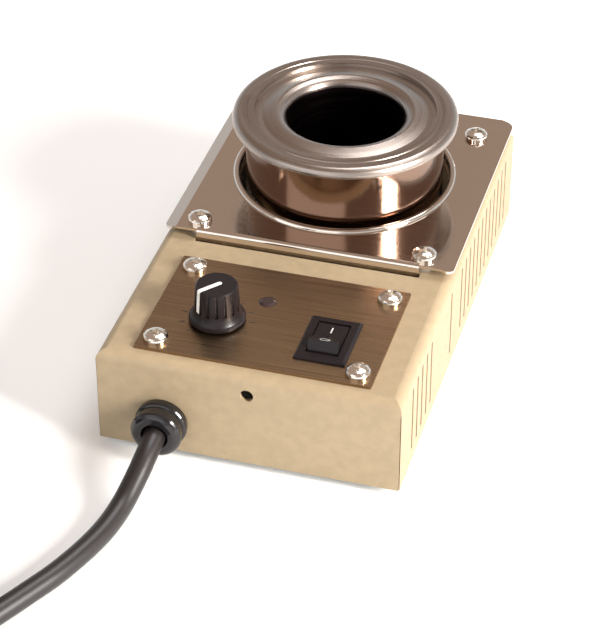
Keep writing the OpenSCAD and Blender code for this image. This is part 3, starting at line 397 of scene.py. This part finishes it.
def edit(piece):
    """Edit mode on one piece, with all of it selected."""
    deselect()
    piece.select_set(True)
    bpy.context.view_layer.objects.active = piece
    bpy.ops.object.mode_set(mode="EDIT")
    bpy.ops.mesh.select_all(action="SELECT")


def finish_piece(piece, name, body, finish):
    """Settles the piece's place in its mesh and says what it is and what it rides on."""
    deselect()
    piece.select_set(True)
    bpy.context.view_layer.objects.active = piece
    bpy.ops.object.transform_apply(location=True, rotation=True, scale=True)
    bpy.ops.object.shade_smooth_by_angle(angle=SMOOTH_UNDER)
    piece.name = name
    piece.data.name = name
    piece.data.materials.clear()
    piece.data.materials.append(finish)
    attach(piece, body)


def bar(size):
    """A thin flat bar, standing on the ground at the middle."""
    deselect()
    bpy.ops.mesh.primitive_plane_add(size=1, location=(0, 0, 0))
    piece = bpy.context.object
    piece.scale = (size[0], size[1], 1)
    bpy.ops.object.transform_apply(location=True, rotation=True, scale=True)
    edit(piece)
    bpy.ops.mesh.extrude_region_move(TRANSFORM_OT_translate={"value": (0, 0, size[2])})
    bpy.ops.mesh.select_all(action="SELECT")
    bpy.ops.mesh.normals_make_consistent(inside=False)
    bpy.ops.object.mode_set(mode="OBJECT")
    return piece


def copy_to(piece, way):
    """A copy with its own mesh, moved by a matrix."""
    made = piece.copy()
    made.data = piece.data.copy()
    bpy.context.collection.objects.link(made)
    made.data.transform(way)
    return made


def join(pieces):
    """Several pieces made one."""
    deselect()
    for piece in pieces:
        piece.select_set(True)
    bpy.context.view_layer.objects.active = pieces[0]
    bpy.ops.object.join()
    return pieces[0]


# The marks

MARK_DEPTH = 0.05 * MM
# Places of the rocker's marks, as shares of its length behind the middle
ON_SHARE, OFF_SHARE = 0.27, -0.27


class SOLDERPOT_OT_dial(bpy.types.Operator):
    """Print plain ticks round the knob"""

    bl_idname = "solderpot.dial"
    bl_label = "Dial ticks"

    def execute(self, context):
        marks = settings().marks
        tick = bar((marks.tick_width, marks.tick_length, MARK_DEPTH))
        out = Matrix.Translation((0, -marks.dial_radius, 0))
        seat = Matrix.Translation((KNOB.x, KNOB.y, PANEL_TOP))
        ticks = []
        for i in range(marks.ticks):
            turn = -marks.first_tick - marks.sweep * i / (marks.ticks - 1)
            ticks.append(copy_to(tick, seat @ Matrix.Rotation(turn, 4, "Z") @ out))
        bpy.data.objects.remove(tick)
        ink = moulded("dial_ink", (0.03, 0.022, 0.018), 0.5)
        finish_piece(join(ticks), "dial_ticks", "base", ink)
        return {"FINISHED"}


class SOLDERPOT_OT_switch_marks(bpy.types.Operator):
    """Print the on and off marks on the rocker"""

    bl_idname = "solderpot.switch_marks"
    bl_label = "Switch marks"

    def execute(self, context):
        marks = settings().marks
        ink = moulded("switch_ink", (0.60, 0.60, 0.58), 0.5)
        line = bar((marks.tick_width, marks.mark_size, MARK_DEPTH))
        self.seat(line, ON_SHARE)
        finish_piece(line, "switch_on_mark", "rocker", ink)
        deselect()
        bpy.ops.mesh.primitive_torus_add(
            major_radius=marks.mark_size / 2, minor_radius=marks.tick_width / 2,
            major_segments=48, minor_segments=8, location=(0, 0, 0))
        ring = context.object
        ring.scale.z = MARK_DEPTH / marks.tick_width
        bpy.ops.object.transform_apply(location=True, rotation=True, scale=True)
        self.seat(ring, OFF_SHARE)
        finish_piece(ring, "switch_off_mark", "rocker", ink)
        return {"FINISHED"}

    def seat(self, mark, share):
        """Lays a mark on the rocker's top, at a share of its length behind the middle."""
        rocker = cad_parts["switch_rocker"]
        low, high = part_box("switch_rocker")
        along = (low.y + high.y) / 2 + share * (high.y - low.y)
        above = Vector(((low.x + high.x) / 2, along, high.z + 10 * MM))
        hit, there, normal, _ = rocker.ray_cast(above, Vector((0, 0, -1)))
        if not hit:
            raise RuntimeError("no rocker under the mark")
        lean = normal.to_track_quat("Z", "Y").to_matrix().to_4x4()
        mark.data.transform(Matrix.Translation(there) @ lean)


# The mains lead


def curve_through(points, steps):
    """A smooth line through the points, with steps places from each to the next."""
    line = []
    last = len(points) - 1
    for i in range(last):
        a, b = Vector(points[max(i - 1, 0)]), Vector(points[i])
        c, d = Vector(points[i + 1]), Vector(points[min(i + 2, last)])
        for k in range(steps):
            t = k / steps
            line.append(0.5 * (2 * b + (c - a) * t + (2 * a - 5 * b + 4 * c - d) * t ** 2
                               + (3 * b - a - 3 * c + d) * t ** 3))
    line.append(Vector(points[last]))
    return line


def ease(value, start, end):
    """0 before start, 1 after end, smooth between."""
    t = min(1.0, max(0.0, (value - start) / (end - start)))
    return t * t * (3 - 2 * t)


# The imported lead's own places in millimetres: from the front wall to the coil
LEAD_ROUTE = [
    (-25.3, -70, 13.2), (-25.3, -74, 13.2), (-25.3, -78, 13.2), (-25.3, -82, 12.95),
    (-25.5, -87, 11.8), (-26, -92, 9.7), (-26.8, -97, 7.3), (-27.8, -103, 4.9), (-29, -110, 3.7),
    (-30.6, -117, 3.3), (-33, -125, 3.3), (-36.4, -134, 3.3), (-40.8, -143, 3.3), (-45.4, -152, 3.3),
    (-50.4, -161.5, 3.3), (-57, -170.8, 3.3), (-65.2, -177.7, 3.3), (-74.3, -182.2, 3.3),
    (-83.6, -184.9, 3.3),
]
COIL_AT = (-92.9, -150)
# From the coil's top to the plug, also in millimetres
TAIL_X = -122.15
TAIL_ROUTE = [(TAIL_X + 0.1, -141, 21.8), (TAIL_X + 0.4, -132, 23), (TAIL_X + 1, -123, 22),
              (TAIL_X + 1.9, -114, 19.4), (TAIL_X + 2.8, -105, 16.4), (TAIL_X + 3.5, -96, 13.8),
              (TAIL_X + 3.75, -87, 12), (TAIL_X + 3.75, -78, 11.5)]
# In turns: where the lead joins the coil and leaves it, and where each change starts and ends.
# A column change goes one lead's width in (-1) or out (1), a layer change goes one width up.
COIL_START, COIL_END = 0.25, 5.5
COLUMN_CHANGES = [(0.95, 1.10, -1), (2.93, 3.08, 1), (4.93, 5.08, -1)]
LAYER_CHANGES = [(1.86, 2.02), (3.84, 4.00)]
# The lead rises by so many millimetres before it leaves, to pass over the outer turn
RISE_START, RISE = 5.25, 3.6
BENCH_GAP = 0.05
STEPS_A_TURN = 24


def coil_place(turn, lead):
    """Where the lead is after so many turns, in millimetres."""
    d = lead.diameter / MM
    column = 0.5 + sum(way * ease(turn, start, end) for start, end, way in COLUMN_CHANGES)
    layer = sum(ease(turn, start, end) for start, end in LAYER_CHANGES)
    radius = lead.coil_radius / MM + column * d
    rise = RISE * max(0.0, (turn - RISE_START) / (COIL_END - RISE_START)) ** 2
    angle = -TURN * turn
    return (COIL_AT[0] + radius * math.cos(angle), COIL_AT[1] + radius * math.sin(angle),
            d / 2 + BENCH_GAP + d * layer + rise)


class SOLDERPOT_OT_mains_lead(bpy.types.Operator):
    """Lay the mains lead along the bench and coil the rest"""

    bl_idname = "solderpot.mains_lead"
    bl_label = "Mains lead"

    def execute(self, context):
        lead = settings().lead
        steps = round((COIL_END - COIL_START) * STEPS_A_TURN)
        turns = [coil_place(COIL_START + i / STEPS_A_TURN, lead) for i in range(steps + 1)]
        # Both ends run on into the coil so that they meet it smoothly; what the coil has is dropped
        run_in = curve_through([*LEAD_ROUTE, turns[0], turns[1]], 4)[:-5]
        tail = curve_through([turns[-2], turns[-1], *TAIL_ROUTE], 3)[4:]
        line = [Vector(p) * MM for p in [*run_in, *turns, *tail]]
        data = bpy.data.curves.new("mains_lead", "CURVE")
        data.dimensions = "3D"
        spline = data.splines.new("POLY")
        spline.points.add(len(line) - 1)
        for point, there in zip(spline.points, line):
            point.co = (*there, 1)
        data.bevel_depth = lead.diameter / 2
        data.bevel_resolution = 6
        data.use_fill_caps = True
        piece = bpy.data.objects.new("mains_lead", data)
        context.collection.objects.link(piece)
        colour = tuple(settings().finish.lead)
        data.materials.append(moulded("lead_rubber", colour, 0.38, 2600, 0.04))
        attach(piece, "base")
        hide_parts("cord_tube", "cord_coil", "cord_tail")
        return {"FINISHED"}


# The stage

AIM_HEIGHT = 30 * MM
FLOOR_SIZE = 12
# Heights, as the sine of the elevation, where the room's pale band ends and its darker part starts
PALE_TO, DARK_FROM = 0.20, 0.50
# Name, degrees round from the front, degrees up, distance, sides, setting of its power, colour
LAMPS = [
    ("key_lamp", 70, 22, 1.3, (0.30, 0.62), "key_power", (1.0, 0.965, 0.92)),
    ("top_lamp", 150, 66, 1.3, (0.7, 0.7), "top_power", (0.97, 0.985, 1.0)),
    ("fill_lamp", -20, 26, 1.4, (1.6, 1.0), "fill_power", (0.95, 0.975, 1.0)),
]


def look_from(azimuth, elevation):
    """The way from the pot towards a lamp."""
    flat = math.cos(elevation)
    return Vector((flat * math.sin(azimuth), -flat * math.cos(azimuth), math.sin(elevation)))


def lamp(name, azimuth, elevation, distance, size, power, colour):
    """A soft lamp that faces the pot."""
    data = bpy.data.lights.new(name, "AREA")
    data.shape = "RECTANGLE"
    data.size, data.size_y = size
    data.energy = power
    data.color = colour
    made = bpy.data.objects.new(name, data)
    bpy.context.collection.objects.link(made)
    way = look_from(math.radians(azimuth), math.radians(elevation))
    made.location = way * distance + Vector((0, 0, AIM_HEIGHT))
    made.rotation_euler = way.to_track_quat("Z", "Y").to_euler()


class SOLDERPOT_OT_stage(bpy.types.Operator):
    """Set up the camera, the lamps, the room and the bench top"""

    bl_idname = "solderpot.stage"
    bl_label = "Stage"

    def execute(self, context):
        stage = settings().stage
        data = bpy.data.cameras.new("camera")
        data.sensor_fit = "HORIZONTAL"
        data.sensor_width = 36
        data.lens = stage.lens
        data.clip_end = 20
        camera = bpy.data.objects.new("camera", data)
        context.collection.objects.link(camera)
        camera.location = stage.camera_place
        camera.rotation_euler = (math.pi / 2 - stage.elevation, 0, stage.azimuth)
        context.scene.camera = camera

        for name, azimuth, elevation, distance, size, power, colour in LAMPS:
            lamp(name, azimuth, elevation, distance, size, getattr(stage, power), colour)
        self.room(context, stage)

        deselect()
        bpy.ops.mesh.primitive_plane_add(size=FLOOR_SIZE, location=(0, 0, 0))
        floor = context.object
        floor.name = "bench_top"
        made, tree, surface = material("bench_top", tuple(stage.floor_colour), 0.8)
        faint = noise(tree, place(tree), 30, detail=2)
        tree.links.new(remap(tree, faint, 0.75, 0.85), surface.inputs["Roughness"])
        floor.data.materials.append(made)

        context.scene.view_settings.view_transform = "Standard"
        return {"FINISHED"}

    def room(self, context, stage):
        """A room that is pale low down and darker above, as polished metal shows it."""
        world = bpy.data.worlds.new("room")
        context.scene.world = world
        world.use_nodes = True
        tree = world.node_tree
        way = add(tree, "ShaderNodeTexCoord").outputs["Generated"]
        height = add(tree, "ShaderNodeSeparateXYZ", {"Vector": way}).outputs["Z"]
        ramp = add(tree, "ShaderNodeValToRGB", {"Fac": height})
        low, high = ramp.color_ramp.elements
        low.position, low.color = PALE_TO, (*stage.horizon_colour, 1)
        high.position, high.color = DARK_FROM, (*stage.room_colour, 1)
        back = tree.nodes["Background"]
        tree.links.new(ramp.outputs["Color"], back.inputs["Color"])
        back.inputs["Strength"].default_value = 1.0


# Finishes on the carried-over pieces


def cad_finishes():
    """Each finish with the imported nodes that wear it."""
    look = settings().finish
    black = tuple(look.black)
    return [
        (case_paint(), ["case_shell"]),
        (polished_steel(), ["top_plate"]),
        (guard_steel(), ["crucible_guard"]),
        (turned_steel(), ["crucible"]),
        (panel_steel(), ["control_panel"]),
        (bright_metal("bright_plating", (0.80, 0.76, 0.70), 0.14),
         ["plate_screws", "panel_screws", "foot_screws", "guard_bolts", "board_screws",
          "heater_clamp_bolt", "earth_stud"]),
        (bright_metal("zinc_plating", (0.62, 0.62, 0.60), 0.34),
         ["plate_nuts", "panel_nuts", "foot_nuts", "guard_nuts", "bottom_plate", "corner_brackets",
          "guard_floor", "plate_spacers", "switch_terminals", "indicator_clip", "potentiometer_body",
          "potentiometer_shaft"]),
        (bright_metal("brass", (0.72, 0.55, 0.28), 0.28), ["potentiometer_nut", "terminal_screws"]),
        (bright_metal("heat_tinted_band", (0.42, 0.36, 0.30), 0.42), ["band_heater"]),
        (bright_metal("extruded_aluminium", (0.72, 0.72, 0.73), 0.36), ["heat_sink"]),
        (bright_metal("plated_blades", (0.78, 0.75, 0.66), 0.2), ["plug_pins"]),
        (moulded("foot_rubber", (0.02, 0.02, 0.02), 0.75, 900, 0.08), ["rubber_feet"]),
        (fibre("mineral_fibre", (0.80, 0.78, 0.72)), ["insulation_pad", "insulation_sleeve"]),
        (moulded("fired_ceramic", (0.80, 0.77, 0.70), 0.55, 1400, 0.03),
         ["guard_standoffs", "terminal_block"]),
        (moulded("lead_sleeving", (0.72, 0.68, 0.58), 0.7, 2200, 0.08), ["heater_leads", "mains_leads"]),
        (moulded("knob_plastic", black, 0.36, 2400, 0.02, Specular_IOR_Level=0.3), ["knob"]),
        (moulded("pointer_white", (0.86, 0.85, 0.80), 0.45, 2400, 0.01), ["knob_pointer"]),
        (moulded("lens_dark", (0.035, 0.022, 0.022), 0.16, 2400, 0.005), ["indicator_lens"]),
        (moulded("switch_plastic", black, 0.34, 2400, 0.02, Specular_IOR_Level=0.25),
         ["switch_housing", "switch_rocker"]),
        (moulded("board_laminate", (0.04, 0.16, 0.07), 0.35, 1600, 0.02), ["control_board"]),
        (moulded("white_nylon", (0.80, 0.80, 0.77), 0.5, 1600, 0.02), ["board_standoffs"]),
        (moulded("black_epoxy", (0.03, 0.03, 0.03), 0.5, 1600, 0.02), ["triac"]),
        (moulded("yellow_film", (0.70, 0.45, 0.06), 0.4, 1600, 0.02), ["capacitor"]),
        (moulded("bushing_nylon", (0.010, 0.009, 0.010), 0.14, 2400, 0.008), ["strain_relief"]),
        (moulded("tie_strap", (0.06, 0.06, 0.06), 0.6, 1500, 0.05), ["cord_tie"]),
        (moulded("plug_rubber", (0.025, 0.022, 0.022), 0.45, 1800, 0.04), ["plug_body"]),
    ]


class SOLDERPOT_OT_finishes(bpy.types.Operator):
    """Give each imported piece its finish"""

    bl_idname = "solderpot.finishes"
    bl_label = "Finishes"

    def execute(self, context):
        dressed = set()
        for finish, nodes in cad_finishes():
            for node in nodes:
                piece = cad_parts[node]
                piece.data.materials.clear()
                piece.data.materials.append(finish)
                dressed.add(node)
        lead_nodes = {"cord_tube", "cord_coil", "cord_tail"}
        bare = sorted(set(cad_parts) - dressed - lead_nodes)
        if bare:
            raise RuntimeError(f"no finish for {bare}")
        return {"FINISHED"}


# The panel in the sidebar

OPERATORS = [
    SOLDERPOT_OT_stage,
    SOLDERPOT_OT_mains_lead,
    SOLDERPOT_OT_finishes,
    SOLDERPOT_OT_dial,
    SOLDERPOT_OT_switch_marks,
]


class SOLDERPOT_PT_panel(bpy.types.Panel):
    """The pot's pieces and their settings"""

    bl_idname = "SOLDERPOT_PT_panel"
    bl_label = "Solder pot"
    bl_space_type = "VIEW_3D"
    bl_region_type = "UI"
    bl_category = "Solder pot"

    def draw(self, context):
        layout = self.layout
        for group in (settings().stage, settings().finish, settings().lead, settings().marks):
            box = layout.box()
            for name in group.bl_rna.properties.keys():
                if name not in ("rna_type", "name"):
                    box.prop(group, name)
        for operator in OPERATORS:
            layout.operator(operator.bl_idname)


CLASSES = [StageSettings, FinishSettings, LeadSettings, MarkSettings, PotSettings, *OPERATORS,
           SOLDERPOT_PT_panel]


def register():
    for item in CLASSES:
        bpy.utils.register_class(item)
    bpy.types.Scene.solder_pot = bpy.props.PointerProperty(type=PotSettings)


def unregister():
    del bpy.types.Scene.solder_pot
    for item in reversed(CLASSES):
        bpy.utils.unregister_class(item)


def main():
    """Make the pieces in order."""
    register()
    for operator in OPERATORS:
        family, name = operator.bl_idname.split(".")
        getattr(getattr(bpy.ops, family), name)()


if __name__ == "__main__":
    main()
